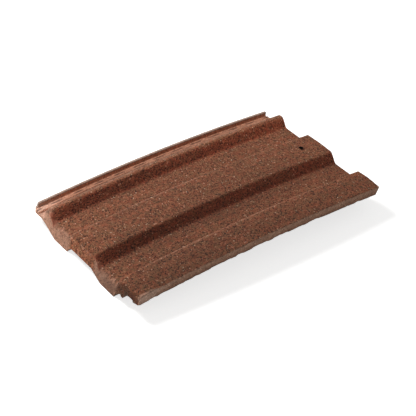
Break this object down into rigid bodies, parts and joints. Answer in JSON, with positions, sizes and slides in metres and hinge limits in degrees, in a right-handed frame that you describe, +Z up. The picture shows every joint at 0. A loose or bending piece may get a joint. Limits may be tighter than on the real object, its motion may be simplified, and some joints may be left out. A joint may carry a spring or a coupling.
{
  "type": "roof tile",
  "caption": "Flat-rolled interlocking concrete roof tile with shallow pans, side locks, lengthwise camber, hanging nibs and a nail hole.",
  "frame": {"origin": "on the floor, under the middle of the bounding box of the tile as it lies face up on its tail and nibs", "axes": "+X across the tile from the underlock to the overlock, +Y from the tail up to the head, +Z up out of the weathered face"},
  "size_m": [0.227, 0.381, 0.0389],
  "materials": {
    "concrete": "rough granular"
  },
  "bodies": {
    "root": {"roof_tile": "concrete"}
  },
  "joints": []
}
